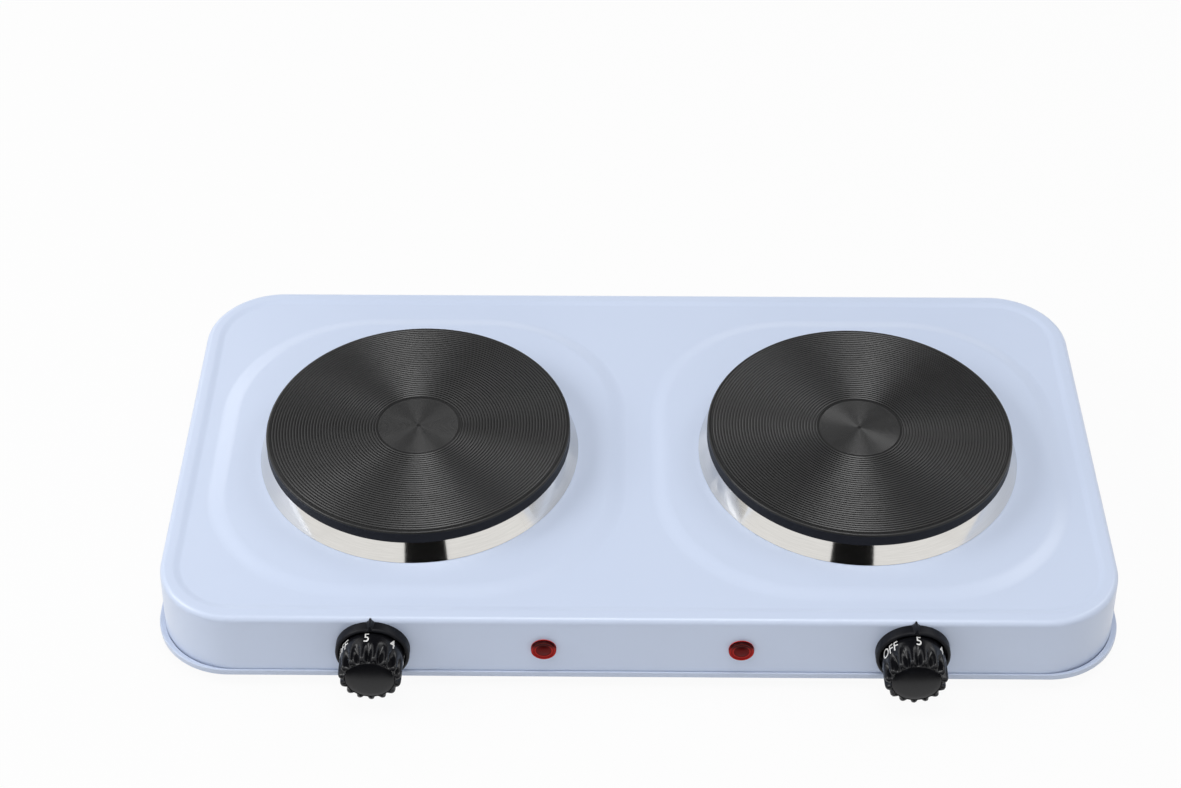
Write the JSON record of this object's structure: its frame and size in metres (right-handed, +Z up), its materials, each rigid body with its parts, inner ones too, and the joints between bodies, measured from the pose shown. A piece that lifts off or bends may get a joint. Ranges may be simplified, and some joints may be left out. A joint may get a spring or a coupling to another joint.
{
  "type": "double hot plate burner",
  "caption": "Counter-top electric hot plate: pressed steel housing with side-by-side cast-iron burners, rotary thermostat knobs and pilot lamps on the front.",
  "frame": {"origin": "on the counter under the middle of the whole object, knobs and gland included", "axes": "+Z up, +X to the right as seen from the front, the knobs face -Y"},
  "size_m": [0.4766, 0.2764, 0.0639],
  "materials": {
    "housing_paint": "semi-gloss pale blue-white enamel",
    "pan_paint": "semi-gloss enamel",
    "rubber": "matte",
    "zinc_steel": "zinc plated",
    "cast_iron": "turned, heat-proof grey coating",
    "stainless": "polished",
    "ceramic": "matte ceramic",
    "brass": "plain",
    "black_plastic": "gloss phenolic",
    "dark_plastic": "matte",
    "red_lens": "clear red",
    "lamp_glass": "clear",
    "lead_sleeve": "silicone sleeve"
  },
  "bodies": {
    "chassis": {"backing_plate_left": "zinc_steel", "backing_plate_right": "zinc_steel", "base_pan": "pan_paint", "base_screws": "zinc_steel", "centre_stud_left": "zinc_steel", "centre_stud_right": "zinc_steel", "clamp_bridge_left": "zinc_steel", "clamp_bridge_right": "zinc_steel", "cord_gland": "dark_plastic", "dial_bezel_left": "black_plastic", "dial_bezel_right": "black_plastic", "dial_screws_left": "zinc_steel", "dial_screws_right": "zinc_steel", "element_cement_left": "ceramic", "element_cement_right": "ceramic", "foot_back_left": "rubber", "foot_back_right": "rubber", "foot_front_left": "rubber", "foot_front_right": "rubber", "foot_nuts": "zinc_steel", "foot_screws": "zinc_steel", "gland_nut": "dark_plastic", "heat_shield_left": "zinc_steel", "heat_shield_right": "zinc_steel", "heating_element_left": "stainless", "heating_element_right": "stainless", "hotplate_left": "cast_iron", "hotplate_right": "cast_iron", "housing": "housing_paint", "housing_brackets": "zinc_steel", "lamp_leads": "lead_sleeve", "lens_clip_left": "zinc_steel", "lens_clip_right": "zinc_steel", "neon_lamp_left": "lamp_glass", "neon_lamp_right": "lamp_glass", "pilot_lens_left": "red_lens", "pilot_lens_right": "red_lens", "power_leads": "lead_sleeve", "spill_ring_left": "stainless", "spill_ring_right": "stainless", "stud_nuts_left": "zinc_steel", "stud_nuts_right": "zinc_steel", "stud_washer_left": "zinc_steel", "stud_washer_right": "zinc_steel", "supply_block": "dark_plastic", "terminal_block_left": "ceramic", "terminal_block_right": "ceramic", "thermostat_blades_left": "brass", "thermostat_blades_right": "brass", "thermostat_frame_left": "zinc_steel", "thermostat_frame_right": "zinc_steel", "thermostat_switch_left": "ceramic", "thermostat_switch_right": "ceramic"},
    "left_knob": {"knob_left": "black_plastic", "thermostat_shaft_left": "zinc_steel"},
    "right_knob": {"knob_right": "black_plastic", "thermostat_shaft_right": "zinc_steel"}
  },
  "joints": [
    {"name": "left_knob_turn", "type": "hinge", "parent": "chassis", "child": "left_knob", "pos_m": [-0.128, -0.1168, 0.0266], "axis": [0, -1, 0], "range_deg": [0, 300]},
    {"name": "right_knob_turn", "type": "hinge", "parent": "chassis", "child": "right_knob", "pos_m": [0.132, -0.1168, 0.0266], "axis": [0, -1, 0], "range_deg": [0, 300]}
  ]
}
